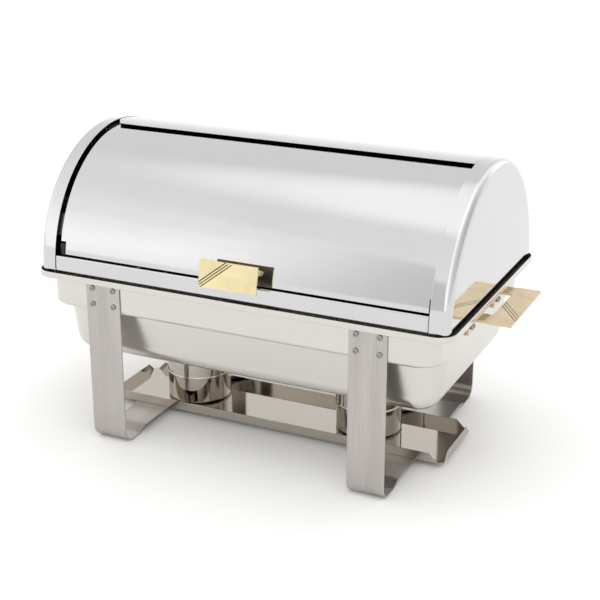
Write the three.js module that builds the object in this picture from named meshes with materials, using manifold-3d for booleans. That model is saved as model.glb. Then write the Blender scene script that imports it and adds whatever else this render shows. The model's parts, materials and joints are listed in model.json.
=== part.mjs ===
// Roll-top chafing dish: a water pan on two bent leg frames, a food pan, a hood with a roll-back lid,
// a fuel shelf and two fuel holders. Millimetres, +X to the right, +Y to the back, +Z up.
import * as THREE from "three";
import { mergeVertices } from "three/addons/utils/BufferGeometryUtils.js";
import Module from "manifold-3d";

const wasm = await Module();
wasm.setup();

// ---------- driving dimensions ----------

const GAP = 0.3; // air between pieces that touch
const SHEET = 1; // sheet metal of pans, hood and shelf

const hood = {
  radius: 176.5, // outside of the rail and the rear shell
  capRadius: 177.3, // the end caps stand a little proud of them
  halfLength: 295.8, // to the flat end faces
  seamX: 270, // where the end caps begin
  seamGap: 1, // between an end cap and the rail or the rear shell
  capFillet: 11,
  axisZ: 238.5, // height of the cylinder's axis, which the lid turns about
  skirt: 5.4, // straight wall below the axis
  railTop: 23.5, // the rail's top edge above the axis
  railFlange: 7,
  shellFrontAngle: 84.2, // the rear shell's front edge, degrees up from the front
  shellCornerCut: 11, // the rear shell's front left corner is cut off by this much in X
};

const lid = {
  radius: 172,
  halfLength: 270,
  sideShift: 5, // the lid sits this far to the right in its side play
  frontAngle: 8.6,
  rearAngle: 96,
  notchWidth: 8,
  notchHeight: 17,
};

const rim = {
  halfX: 302,
  halfY: 184,
  corner: 25,
  bottomZ: 231.6,
  lipTopZ: 240,
  ledgeZ: 236.5, // the food pan hangs on this
  ledgeHalfX: 274,
  ledgeHalfY: 168,
  openingHalfX: 256,
  openingHalfY: 153,
};

const pan = {
  halfX: 281.5,
  halfY: 178.6,
  corner: 27,
  bandBottomZ: 192,
  bodyTopHalfX: 279,
  bodyTopHalfY: 164,
  bodyTopCorner: 48,
  bodyLowHalfX: 272,
  bodyLowHalfY: 152.5,
  bodyLowCorner: 33,
  bottomFillet: 26,
  bottomZ: 115.5,
};

const foodPan = {
  rimHalfX: 265,
  rimHalfY: 162.5,
  rimCorner: 26,
  mouthHalfX: 250,
  mouthHalfY: 147.5,
  mouthCorner: 42,
  baseHalfX: 241,
  baseHalfY: 138.5,
  baseCorner: 36,
  baseFillet: 14,
  depth: 65,
};

const leg = {
  centreX: 193,
  width: 52,
  thickness: 2,
  faceY: 181, // outer face of the upright strap
  topZ: 231,
  bendRadius: 19,
  footInnerY: 144,
  stripEndY: 128,
  stripZ: 6, // underside of the cross strip
  screwOffsetX: 16,
  screwRowsZ: [203.5, 226.5],
};

const shelf = {
  centreY: -8,
  halfX: 258.5,
  halfY: 58,
  height: 12.8,
  cornerX: 6.5, // the floor's corners are cut off by this much
  cornerY: 5,
};

const fuel = {
  spacing: 274, // between the two holders' axes
  middleX: -13, // the pair stands this far off the shelf's middle
  y: 1,
  cupRadius: 47,
  coverRadius: 48.3,
  coverBottomZ: 49.5,
  coverTopZ: 72,
  holeRadius: 26,
  damperRadius: 30,
  damperThickness: 1,
  rivetRadius: 2.5,
  lugRadius: 9.5, // the damper's ear round the rivet
};

const endHandle = {
  innerX: 310,
  outerX: 342,
  halfLength: 69,
  plateBottomZ: 221,
  plateThickness: 4,
  armY: 55,
  armWidth: 24,
  flangeThickness: 4.2,
  flangeDrop: 25,
  screwZ: 210,
};

const lidHandle = {
  width: 83,
  height: 36,
  thickness: 3,
  centreY: -192.5,
  centreZ: 278,
  lean: 10, // degrees, top edge towards the lid
  postSpacing: 50,
  postRadius: 4.5,
  postRise: 5, // the posts sit this far above the plate's middle
};

const bracket = {
  planeX: 285.6, // middle of the bracket's plate, from the lid's own middle
  thickness: 2.4,
  hubRadius: 5,
  armWidth: 14,
  armAngles: [22, 86],
  tabHalfAngle: 5,
  tabThickness: 1.6,
  tabOverlap: 14,
};

const pin = { radius: 2.5, length: 18.3, nutRadius: 4.6, nutThickness: 2.6 };
const panHead = { leg: 4, handle: 5.3 };

const ARC_STEP = 7.5; // degrees between the corners of a faceted arc on the hood
const CORNER_STEPS = 6;

// ---------- materials ----------

const finish = (name, color, roughness, metalness = 1) =>
  Object.assign(new THREE.MeshStandardMaterial({ color, roughness, metalness }), { name });
const polishedSteel = finish("polished_steel", 0xd9d9dc, 0.08);
const satinSteel = finish("satin_steel", 0xd2cfca, 0.3);
const brushedSteel = finish("brushed_steel", 0xbfb9b4, 0.38);
const zincSteel = finish("fastener_steel", 0xc8c8c8, 0.25);
const brass = finish("brass", 0xe4d48f, 0.22);
const blackRubber = finish("black_rubber", 0x101010, 0.8, 0);

// ---------- helpers ----------

const radians = THREE.MathUtils.degToRad;

// A closed geometry as a manifold-3d solid.
function solid(geometry) {
  const bare = geometry.clone();
  bare.deleteAttribute("normal");
  bare.deleteAttribute("uv");
  const merged = mergeVertices(bare, 1e-4);
  return new wasm.Manifold(
    new wasm.Mesh({
      numProp: 3,
      vertProperties: new Float32Array(merged.attributes.position.array),
      triVerts: new Uint32Array(merged.index.array),
    }),
  );
}

// A manifold-3d solid back as a geometry.
function geometryOf(body) {
  const mesh = body.getMesh();
  const positions = new Float32Array(mesh.numVert * 3);
  for (let i = 0; i < mesh.numVert; i++) {
    const start = i * mesh.numProp;
    positions.set(mesh.vertProperties.subarray(start, start + 3), i * 3);
  }
  const geometry = new THREE.BufferGeometry();
  geometry.setAttribute("position", new THREE.BufferAttribute(positions, 3));
  geometry.setIndex(new THREE.BufferAttribute(mesh.triVerts, 1));
  geometry.computeVertexNormals();
  return geometry;
}

const join = (...bodies) => bodies.reduce((sum, body) => sum.add(body));
const cut = (body, ...tools) => tools.reduce((left, tool) => left.subtract(tool), body);

function node(name, shape, material) {
  const geometry = shape.isBufferGeometry ? shape : geometryOf(shape);
  const mesh = new THREE.Mesh(geometry, material);
  mesh.name = name;
  return mesh;
}

function block(x0, x1, y0, y1, z0, z1) {
  const geometry = new THREE.BoxGeometry(x1 - x0, y1 - y0, z1 - z0);
  return solid(geometry.translate((x0 + x1) / 2, (y0 + y1) / 2, (z0 + z1) / 2));
}

// A cylinder standing on z0.
function disc(radius, z0, z1, sides = 24) {
  const geometry = new THREE.CylinderGeometry(radius, radius, z1 - z0, sides);
  return solid(geometry.rotateX(Math.PI / 2).translate(0, 0, (z0 + z1) / 2));
}

function prism(shape, z0, z1, curveSegments = CORNER_STEPS) {
  const options = { depth: z1 - z0, bevelEnabled: false, curveSegments };
  return solid(new THREE.ExtrudeGeometry(shape, options).translate(0, 0, z0));
}

// A section drawn in the Y-Z plane, extruded from x0 to x1.
const SECTION_TO_X = new THREE.Matrix4().makeBasis(
  new THREE.Vector3(0, 1, 0),
  new THREE.Vector3(0, 0, 1),
  new THREE.Vector3(1, 0, 0),
);
function alongX(shape, x0, x1, extra = {}) {
  const options = { depth: x1 - x0, bevelEnabled: false, curveSegments: CORNER_STEPS, ...extra };
  const geometry = new THREE.ExtrudeGeometry(shape, options);
  return solid(geometry.applyMatrix4(SECTION_TO_X).translate(x0, 0, 0));
}

function roundedRect(halfX, halfY, radius) {
  const shape = new THREE.Shape();
  const [cx, cy] = [halfX - radius, halfY - radius];
  shape.absarc(cx, cy, radius, 0, Math.PI / 2, false);
  shape.absarc(-cx, cy, radius, Math.PI / 2, Math.PI, false);
  shape.absarc(-cx, -cy, radius, Math.PI, 1.5 * Math.PI, false);
  shape.absarc(cx, -cy, radius, 1.5 * Math.PI, 2 * Math.PI, false);
  return shape;
}

// The corner points of a rounded rectangle, always the same number of them.
function rectRing({ halfX, halfY, corner, z }) {
  const points = [];
  for (let quarter = 0; quarter < 4; quarter++) {
    const signX = quarter === 0 || quarter === 3 ? 1 : -1;
    const signY = quarter < 2 ? 1 : -1;
    for (let step = 0; step <= CORNER_STEPS; step++) {
      const angle = ((quarter + step / CORNER_STEPS) * Math.PI) / 2;
      const x = signX * (halfX - corner) + corner * Math.cos(angle);
      const y = signY * (halfY - corner) + corner * Math.sin(angle);
      points.push(new THREE.Vector3(x, y, z));
    }
  }
  return points;
}

// A closed solid through a stack of rounded rectangles, lowest first.
function loft(levels) {
  const rings = levels.map(rectRing);
  const count = rings[0].length;
  const positions = rings.flat().flatMap((p) => [p.x, p.y, p.z]);
  positions.push(0, 0, levels[0].z, 0, 0, levels.at(-1).z);
  const lowCentre = rings.length * count;
  const topStart = (rings.length - 1) * count;
  const index = [];
  for (let i = 0; i < count; i++) {
    const next = (i + 1) % count;
    for (let ring = 0; ring < rings.length - 1; ring++) {
      const low = ring * count;
      const high = low + count;
      index.push(low + i, low + next, high + next);
      index.push(low + i, high + next, high + i);
    }
    index.push(lowCentre, next, i);
    index.push(lowCentre + 1, topStart + i, topStart + next);
  }
  const geometry = new THREE.BufferGeometry();
  geometry.setAttribute("position", new THREE.Float32BufferAttribute(positions, 3));
  geometry.setIndex(index);
  return solid(geometry);
}

// Levels that round the bottom edge of a pan whose wall starts at the given size.
function roundedBottom(bottomZ, halfX, halfY, corner, fillet, steps = 4) {
  return Array.from({ length: steps + 1 }, (_, i) => {
    const angle = ((i / steps) * Math.PI) / 2;
    const inset = fillet * (1 - Math.sin(angle));
    return {
      z: bottomZ + fillet * (1 - Math.cos(angle)),
      halfX: halfX - inset,
      halfY: halfY - inset,
      corner: Math.max(corner - inset, 5),
    };
  });
}

// The outline of a bent sheet: one side is the polyline, the other lies to its left.
function sheetSection(points, thickness) {
  const normals = points.slice(1).map((p, i) => {
    const along = p.clone().sub(points[i]).normalize();
    return new THREE.Vector2(-along.y, along.x);
  });
  const offset = points.map((p, i) => {
    const before = normals[Math.max(i - 1, 0)];
    const after = normals[Math.min(i, normals.length - 1)];
    const mitre = thickness / (1 + before.dot(after));
    return p.clone().addScaledVector(before, mitre).addScaledVector(after, mitre);
  });
  return new THREE.Shape([...points, ...offset.reverse()]);
}

// A point of the hood's section, at an angle up from the front, about the lid's axis.
function hoodPoint(radius, angle) {
  return new THREE.Vector2(-radius * Math.cos(radians(angle)), radius * Math.sin(radians(angle)));
}

function hoodArc(radius, fromAngle, toAngle) {
  const steps = Math.max(1, Math.round(Math.abs(toAngle - fromAngle) / ARC_STEP));
  return Array.from({ length: steps + 1 }, (_, i) =>
    hoodPoint(radius, fromAngle + ((toAngle - fromAngle) * i) / steps),
  );
}

// A pan head screw: its head stands out along +Z from 0, and its shank runs down.
function panHeadScrew(name, headRadius, headHeight, shankRadius, shankLength) {
  const profile = [
    new THREE.Vector2(0, -shankLength),
    new THREE.Vector2(shankRadius, -shankLength),
    new THREE.Vector2(shankRadius, 0),
    new THREE.Vector2(headRadius, 0),
    new THREE.Vector2(headRadius, headHeight * 0.45),
    new THREE.Vector2(headRadius * 0.66, headHeight),
    new THREE.Vector2(0, headHeight),
  ];
  const geometry = new THREE.LatheGeometry(profile, 10).rotateX(Math.PI / 2);
  return node(name, solid(geometry), zincSteel);
}

// ---------- base: pans, frame, shelf ----------

const SIDES = [
  ["left", -1],
  ["right", 1],
];
const ENDS = [
  ["front", -1],
  ["rear", 1],
];

function panLevels(inset) {
  const low = roundedBottom(
    pan.bottomZ + inset,
    pan.bodyLowHalfX - inset,
    pan.bodyLowHalfY - inset,
    pan.bodyLowCorner - inset,
    pan.bottomFillet,
  );
  // The shoulder turns out from the body to the band in a quarter round.
  const shoulder = [
    { z: pan.bandBottomZ, halfX: pan.bodyTopHalfX, halfY: pan.bodyTopHalfY, corner: pan.bodyTopCorner },
    { z: pan.bandBottomZ + 0.8, halfX: pan.halfX - 2, halfY: pan.halfY - 5.5, corner: pan.corner + 7 },
    { z: pan.bandBottomZ + 2.6, halfX: pan.halfX - 0.7, halfY: pan.halfY - 1.6, corner: pan.corner + 2 },
    { z: pan.bandBottomZ + 6, halfX: pan.halfX, halfY: pan.halfY, corner: pan.corner },
  ].map((level) => ({
    z: level.z + inset,
    halfX: level.halfX - inset,
    halfY: level.halfY - inset,
    corner: level.corner - inset,
  }));
  const topZ = rim.bottomZ - GAP + inset;
  return [...low, ...shoulder, { ...shoulder.at(-1), z: topZ }];
}

// Every leg screw's place on the pan's long walls.
function* legScrewPlaces() {
  for (const [side, signX] of SIDES) {
    for (const [end, signY] of ENDS) {
      let number = 1;
      for (const z of leg.screwRowsZ) {
        for (const offset of [-leg.screwOffsetX, leg.screwOffsetX]) {
          const name = `leg_screw_${side}_${end}_${number}`;
          number += 1;
          yield { name, x: signX * leg.centreX + offset, signY, z };
        }
      }
    }
  }
}

// A round hole through a long wall, along Y.
function wallHoleY(x, y, z, radius, length = 12) {
  const geometry = new THREE.CylinderGeometry(radius, radius, length, 8);
  return solid(geometry.translate(x, y, z));
}

// A round hole through an end wall, along X.
function wallHoleX(x, y, z, radius, length = 14) {
  const geometry = new THREE.CylinderGeometry(radius, radius, length, 8);
  return solid(geometry.rotateZ(Math.PI / 2).translate(x, y, z));
}

const SCREW_HOLE = 2.9;
const LEG_SHANK = 2.2;
const HANDLE_SHANK = 2.4;

function waterPan() {
  let body = cut(loft(panLevels(0)), loft(panLevels(SHEET)));
  for (const place of legScrewPlaces()) {
    body = cut(body, wallHoleY(place.x, place.signY * pan.halfY, place.z, SCREW_HOLE));
  }
  for (const [, signX] of SIDES) {
    for (const [, signY] of ENDS) {
      const y = signY * endHandle.armY;
      body = cut(body, wallHoleX(signX * pan.halfX, y, endHandle.screwZ, SCREW_HOLE));
    }
  }
  return node("water_pan", body, satinSteel);
}

function rimFrame() {
  const outer = prism(roundedRect(rim.halfX, rim.halfY, rim.corner), rim.bottomZ, rim.lipTopZ);
  const gutter = prism(
    roundedRect(rim.halfX - SHEET, rim.halfY - SHEET, rim.corner - SHEET),
    rim.bottomZ + SHEET,
    rim.lipTopZ + 1,
  );
  const ledgeCorner = rim.corner * 0.6;
  const ledge = prism(roundedRect(rim.ledgeHalfX, rim.ledgeHalfY, ledgeCorner), rim.bottomZ, rim.ledgeZ);
  const underLedge = prism(
    roundedRect(rim.ledgeHalfX - SHEET, rim.ledgeHalfY - SHEET, ledgeCorner - SHEET),
    rim.bottomZ - 1,
    rim.ledgeZ - SHEET,
  );
  const opening = prism(
    roundedRect(rim.openingHalfX, rim.openingHalfY, 48),
    rim.bottomZ - 1,
    rim.lipTopZ + 1,
  );
  return node("rim_frame", cut(join(cut(outer, gutter), ledge), underLedge, opening), satinSteel);
}

function foodPanNode() {
  const rimZ = rim.ledgeZ + GAP;
  const levels = (inset) => [
    ...roundedBottom(
      rimZ - foodPan.depth + inset,
      foodPan.baseHalfX - inset,
      foodPan.baseHalfY - inset,
      foodPan.baseCorner - inset,
      foodPan.baseFillet,
      3,
    ),
    {
      z: rimZ + 2 * inset,
      halfX: foodPan.mouthHalfX - inset,
      halfY: foodPan.mouthHalfY - inset,
      corner: foodPan.mouthCorner - inset,
    },
  ];
  const flange = prism(
    roundedRect(foodPan.rimHalfX, foodPan.rimHalfY, foodPan.rimCorner),
    rimZ,
    rimZ + SHEET,
  );
  const body = cut(join(loft(levels(0)), flange), loft(levels(SHEET)));
  return node("food_pan", body, satinSteel);
}

// One strap: leg, bend, foot, ramp and cross strip, and the same again to the rear.
function legFrame(name) {
  const bend = Array.from({ length: 6 }, (_, i) => {
    const angle = Math.PI + ((i / 5) * Math.PI) / 2;
    return new THREE.Vector2(
      -leg.faceY + leg.bendRadius * (1 + Math.cos(angle)),
      leg.bendRadius * (1 + Math.sin(angle)),
    );
  });
  const front = [
    new THREE.Vector2(-leg.faceY, leg.topZ),
    ...bend,
    new THREE.Vector2(-leg.footInnerY, 0),
    new THREE.Vector2(-leg.stripEndY, leg.stripZ),
  ];
  const rear = front.map((p) => new THREE.Vector2(-p.x, p.y)).reverse();
  const section = sheetSection([...front, ...rear], leg.thickness);
  let body = alongX(section, -leg.width / 2, leg.width / 2);
  for (const [, signY] of ENDS) {
    for (const z of leg.screwRowsZ) {
      for (const x of [-leg.screwOffsetX, leg.screwOffsetX]) {
        body = cut(body, wallHoleY(x, signY * leg.faceY, z, SCREW_HOLE));
      }
    }
  }
  return node(name, body, brushedSteel);
}

function fuelShelf() {
  const floorZ = leg.stripZ + leg.thickness + GAP;
  const [longHalf, endHalf] = [shelf.halfX - shelf.cornerX, shelf.halfY - shelf.cornerY];
  const floorOutline = new THREE.Shape(
    [
      [shelf.halfX, -endHalf],
      [shelf.halfX, endHalf],
      [longHalf, shelf.halfY],
      [-longHalf, shelf.halfY],
      [-shelf.halfX, endHalf],
      [-shelf.halfX, -endHalf],
      [-longHalf, -shelf.halfY],
      [longHalf, -shelf.halfY],
    ].map(([x, y]) => new THREE.Vector2(x, y)),
  );
  const floor = prism(floorOutline, floorZ, floorZ + SHEET);
  // A flange stands on a straight edge of the floor. Its ends slope in at 45 degrees.
  const flange = (halfLength, edge) => {
    const topHalf = halfLength - shelf.height;
    const outline = new THREE.Shape(
      [
        [-halfLength, 0],
        [halfLength, 0],
        [topHalf, shelf.height],
        [-topHalf, shelf.height],
      ].map(([x, z]) => new THREE.Vector2(x, z)),
    );
    const sheet = new THREE.ExtrudeGeometry(outline, { depth: SHEET, bevelEnabled: false });
    return solid(sheet.rotateX(Math.PI / 2).translate(0, edge, floorZ));
  };
  const longFlange = flange(longHalf, shelf.halfY);
  const endFlange = flange(endHalf, shelf.halfX).rotate([0, 0, 90]);
  const flanges = [
    longFlange,
    longFlange.mirror([0, 1, 0]),
    endFlange,
    endFlange.mirror([1, 0, 0]),
  ];
  const tray = join(floor, ...flanges).translate([0, shelf.centreY, 0]);
  return node("fuel_shelf", tray, polishedSteel);
}

// ---------- handles on the pan's ends ----------

function endHandleCasting(name) {
  const top = endHandle.plateBottomZ + endHandle.plateThickness;
  const wallX = pan.halfX + GAP;
  const plate = block(
    endHandle.innerX,
    endHandle.outerX,
    -endHandle.halfLength,
    endHandle.halfLength,
    endHandle.plateBottomZ,
    top,
  );
  const limbs = ENDS.flatMap(([, sign]) => {
    const y0 = sign * endHandle.armY - endHandle.armWidth / 2;
    const y1 = y0 + endHandle.armWidth;
    const flangeX = wallX + endHandle.flangeThickness;
    return [
      block(wallX, endHandle.innerX + 2, y0, y1, endHandle.plateBottomZ, top),
      block(wallX, flangeX, y0, y1, top - endHandle.flangeDrop, top),
    ];
  });
  const holes = ENDS.map(([, sign]) =>
    wallHoleX(wallX, sign * endHandle.armY, endHandle.screwZ, SCREW_HOLE),
  );
  return node(name, cut(join(plate, ...limbs), ...holes), brass);
}

function baseAssembly() {
  const base = new THREE.Group();
  base.add(waterPan(), rimFrame(), foodPanNode(), fuelShelf());

  for (const [side, signX] of SIDES) {
    const frame = legFrame(`leg_frame_${side}`);
    frame.position.x = signX * leg.centreX;
    base.add(frame);

    const handle = new THREE.Group();
    handle.add(endHandleCasting(`end_handle_${side}`));
    for (const [end, signY] of ENDS) {
      const headX = pan.halfX + 2 * GAP + endHandle.flangeThickness;
      const screw = panHeadScrew(`end_handle_screw_${side}_${end}`, panHead.handle, 4, HANDLE_SHANK, 9);
      screw.rotation.y = Math.PI / 2;
      screw.position.set(headX, signY * endHandle.armY, endHandle.screwZ);
      handle.add(screw);
    }
    handle.rotation.z = signX > 0 ? 0 : Math.PI;
    base.add(handle);
  }

  for (const { name, x, signY, z } of legScrewPlaces()) {
    const screw = panHeadScrew(name, panHead.leg, 2.2, LEG_SHANK, 6);
    screw.rotation.x = (-signY * Math.PI) / 2;
    screw.position.set(x, signY * (leg.faceY + GAP), z);
    base.add(screw);
  }
  return base;
}

// ---------- fuel holders ----------

// A round drawn cup, open at the top, as a lathe section that closes on the axis.
function drawnCup(radius, z0, z1, cornerRadius) {
  const chamfer = cornerRadius * 0.3;
  const profile = [
    [0, z0],
    [radius - cornerRadius, z0],
    [radius - chamfer, z0 + chamfer],
    [radius, z0 + cornerRadius],
    [radius, z1],
    [radius - SHEET, z1],
    [radius - SHEET, z0 + cornerRadius],
    [radius - cornerRadius, z0 + SHEET],
    [0, z0 + SHEET],
  ].map(([r, z]) => new THREE.Vector2(r, z));
  return solid(new THREE.LatheGeometry(profile, 24).rotateX(Math.PI / 2));
}

function fuelHolder(side) {
  const holder = new THREE.Group();
  const floorTop = leg.stripZ + leg.thickness + GAP + SHEET;
  const cup = drawnCup(fuel.cupRadius, floorTop + GAP, fuel.coverTopZ - SHEET - 2 * GAP, 4);
  holder.add(node(`fuel_cup_${side}`, cup, polishedSteel));

  const rivetX = -(fuel.holeRadius + fuel.coverRadius) / 2;
  const skirt = disc(fuel.coverRadius, fuel.coverBottomZ, fuel.coverTopZ);
  const inside = disc(fuel.cupRadius + GAP * 1.5, fuel.coverBottomZ - 1, fuel.coverTopZ - SHEET);
  const burnerHole = disc(fuel.holeRadius, fuel.coverBottomZ, fuel.coverTopZ + 1);
  const rivetHole = disc(fuel.rivetRadius, fuel.coverBottomZ, fuel.coverTopZ + 1, 10);
  const cover = cut(skirt, inside, burnerHole, rivetHole.translate([rivetX, 0, 0]));
  holder.add(node(`fuel_cover_${side}`, cover, polishedSteel));

  // The damper is a disc with a lug that turns on the rivet.
  const damperZ = fuel.coverTopZ + GAP;
  const damperTop = damperZ + fuel.damperThickness;
  const plate = disc(fuel.damperRadius, damperZ, damperTop);
  const lug = disc(fuel.lugRadius, damperZ, damperTop, 12).translate([rivetX, 0, 0]);
  const pivotHole = disc(fuel.rivetRadius, damperZ - 1, damperTop + 1, 10).translate([rivetX, 0, 0]);
  holder.add(node(`fuel_damper_${side}`, cut(join(plate, lug), pivotHole), polishedSteel));

  const shankBottom = damperZ - fuel.coverTopZ + SHEET + GAP;
  const rivetProfile = [
    [0, -shankBottom],
    [fuel.rivetRadius - GAP, -shankBottom],
    [fuel.rivetRadius - GAP, fuel.damperThickness + GAP],
    [fuel.rivetRadius + 1.5, fuel.damperThickness + GAP],
    [fuel.rivetRadius, fuel.damperThickness + 1.8],
    [0, fuel.damperThickness + 1.8],
  ].map(([r, z]) => new THREE.Vector2(r, z));
  const rivet = solid(new THREE.LatheGeometry(rivetProfile, 10).rotateX(Math.PI / 2));
  const rivetNode = node(`damper_rivet_${side}`, rivet, zincSteel);
  rivetNode.position.set(rivetX, 0, damperZ);
  holder.add(rivetNode);
  return holder;
}

// ---------- hood ----------

// The hood's outline: a half circle on a short straight skirt.
function hoodOutline(inset, skirt) {
  const radius = hood.capRadius - inset;
  return new THREE.Shape([
    new THREE.Vector2(radius, -skirt),
    ...hoodArc(radius, 180, 0),
    new THREE.Vector2(-radius, -skirt),
  ]);
}

// A drawn end cap: the outline with one rounded edge, hollowed out and open at the bottom.
function endCap(name) {
  const deepSkirt = hood.skirt + 2 * hood.capFillet;
  const rounded = (inset) => {
    const fillet = hood.capFillet - inset;
    const bevel = { bevelEnabled: true, bevelThickness: fillet, bevelSize: fillet, bevelSegments: 3 };
    const outline = hoodOutline(hood.capFillet, deepSkirt);
    const x1 = hood.halfLength - hood.capFillet;
    return alongX(outline, 0, x1, bevel);
  };
  const far = 2 * hood.halfLength;
  const below = block(-far, far, -far, far, -far, -hood.skirt);
  const beyondSeam = block(-far, hood.seamX, -far, far, -far, far);
  return node(name, cut(rounded(0), rounded(SHEET), below, beyondSeam), polishedSteel);
}

function frontRail() {
  const topAngle = THREE.MathUtils.radToDeg(Math.asin(hood.railTop / hood.radius));
  const top = hoodPoint(hood.radius, topAngle);
  const points = [
    new THREE.Vector2(top.x + hood.railFlange, top.y),
    top,
    hoodPoint(hood.radius, topAngle / 2),
    new THREE.Vector2(-hood.radius, 0),
    new THREE.Vector2(-hood.radius, -hood.skirt),
  ];
  const half = hood.seamX - hood.seamGap;
  return node("front_rail", alongX(sheetSection(points, SHEET), -half, half), polishedSteel);
}

function rearShell() {
  const points = [
    ...hoodArc(hood.radius, hood.shellFrontAngle, 180),
    new THREE.Vector2(hood.radius, -hood.skirt),
  ].reverse();
  const half = hood.seamX - hood.seamGap;
  const shell = alongX(sheetSection(points, SHEET), -half, half);
  // The cut corner clears the lid's left edge. It runs from the front edge to the top of the arch.
  const frontY = hoodPoint(hood.radius, hood.shellFrontAngle).x;
  const corner = new THREE.Shape([
    new THREE.Vector2(-half - 1, frontY - 1),
    new THREE.Vector2(-half + hood.shellCornerCut, frontY - 1),
    new THREE.Vector2(-half + hood.shellCornerCut, frontY),
    new THREE.Vector2(-half, 0),
    new THREE.Vector2(-half - 1, 0),
  ]);
  const cutter = solid(new THREE.ExtrudeGeometry(corner, { depth: 30, bevelEnabled: false }));
  return node("rear_shell", cut(shell, cutter.translate([0, 0, hood.radius - 20])), polishedSteel);
}

// A stud welded inside each cap, which a lid bracket turns on, with its lock nut.
function pivotSet(side) {
  const set = new THREE.Group();
  const innerX = hood.halfLength - SHEET - GAP;
  const stud = disc(pin.radius, -innerX, -innerX + pin.length, 12);
  const studNode = node(`pivot_pin_${side}`, stud, zincSteel);
  studNode.rotation.y = Math.PI / 2;
  set.add(studNode);
  return set;
}

function pivotNut(side) {
  const nut = cut(
    disc(pin.nutRadius, 0, pin.nutThickness, 6),
    disc(pin.radius + 0.2, -1, pin.nutThickness + 1, 12),
  );
  return node(`pivot_nut_${side}`, nut, zincSteel);
}

function lidBumper(name) {
  const width = lid.notchWidth - 1.5;
  const low = hoodPoint(lid.radius, lid.frontAngle);
  const bottom = hood.railTop + GAP;
  const height = low.y + lid.notchHeight - bottom - 3;
  const geometry = new THREE.BoxGeometry(width, 5, height);
  return node(name, geometry.translate(0, low.x + 3, bottom + height / 2), blackRubber);
}

function hoodAssembly() {
  const group = new THREE.Group();
  const left = endCap("end_cap_left");
  left.rotation.z = Math.PI;
  group.add(left, endCap("end_cap_right"), frontRail(), rearShell());
  for (const [side, signX] of SIDES) {
    const pivot = pivotSet(side);
    pivot.rotation.z = signX > 0 ? Math.PI : 0;
    group.add(pivot);
    const nut = pivotNut(side);
    // The nut is on the bracket's inner side.
    const bracketX = lid.sideShift + signX * bracket.planeX;
    const nutX = bracketX - signX * (bracket.thickness / 2 + GAP);
    nut.rotation.y = (-signX * Math.PI) / 2;
    nut.position.x = nutX;
    group.add(nut);
    const bumper = lidBumper(`lid_bumper_${side}`);
    bumper.position.x = lid.sideShift + signX * (lid.halfLength - lid.notchWidth / 2 + 0.75);
    group.add(bumper);
  }
  return group;
}

// ---------- roll lid ----------

function rollLid() {
  const points = hoodArc(lid.radius, lid.rearAngle, lid.frontAngle);
  let body = alongX(sheetSection(points, SHEET), -lid.halfLength, lid.halfLength);
  const low = hoodPoint(lid.radius, lid.frontAngle);
  for (const [, signX] of SIDES) {
    const [x0, x1] = [signX * (lid.halfLength + 1), signX * (lid.halfLength - lid.notchWidth)].sort(
      (a, b) => a - b,
    );
    body = cut(body, block(x0, x1, low.x - 10, low.x + 20, low.y - 2, low.y + lid.notchHeight));
  }
  for (const offset of [-0.5, 0.5]) {
    body = cut(body, handleTool(offset * lidHandle.postSpacing, 1.9, 60));
  }
  return node("roll_lid", body, polishedSteel);
}

// The lid handle's own frame: +Z out of the plate's face, +X along the plate.
function toHandleFrame(object) {
  object.rotation.x = Math.PI / 2 - radians(lidHandle.lean);
  object.position.set(0, lidHandle.centreY, lidHandle.centreZ - hood.axisZ);
  return object;
}

// A cylinder through the lid on a post's line.
function handleTool(x, radius, length) {
  const geometry = new THREE.CylinderGeometry(radius, radius, length, 8);
  const place = toHandleFrame(new THREE.Object3D());
  place.updateMatrix();
  geometry.rotateX(Math.PI / 2).translate(x, lidHandle.postRise, -length / 2 + 0.1);
  return solid(geometry.applyMatrix4(place.matrix));
}

function lidBracket(name, signX) {
  const half = bracket.thickness / 2;
  const reach = lid.radius - SHEET - GAP - 0.2;
  const tabInner = reach - bracket.tabThickness;
  const hub = alongX(discShape(bracket.hubRadius), -half, half);
  const arms = bracket.armAngles.map((angle) => {
    const outline = new THREE.Shape([
      new THREE.Vector2(0, -bracket.hubRadius),
      new THREE.Vector2(reach - 2, -bracket.armWidth / 2),
      new THREE.Vector2(reach - 2, bracket.armWidth / 2),
      new THREE.Vector2(0, bracket.hubRadius),
    ]);
    const turned = alongX(outline, -half, half);
    return turned.rotate([180 - angle, 0, 0]);
  });
  const tabEnd = -signX * (bracket.planeX - lid.halfLength + bracket.tabOverlap);
  const [x0, x1] = [signX * half, tabEnd].sort((a, b) => a - b);
  const tabs = bracket.armAngles.map((angle) => {
    const outer = hoodArc(reach, angle + bracket.tabHalfAngle, angle - bracket.tabHalfAngle);
    return alongX(sheetSection(outer, reach - tabInner), x0, x1);
  });
  const hole = alongX(discShape(pin.radius + 0.3), -half - 1, half + 1);
  return node(name, cut(join(hub, ...arms, ...tabs), hole), brushedSteel);
}

function discShape(radius) {
  const shape = new THREE.Shape();
  shape.absarc(0, 0, radius, 0, 2 * Math.PI, false);
  return new THREE.Shape(shape.getPoints(12).slice(0, -1));
}

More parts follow.
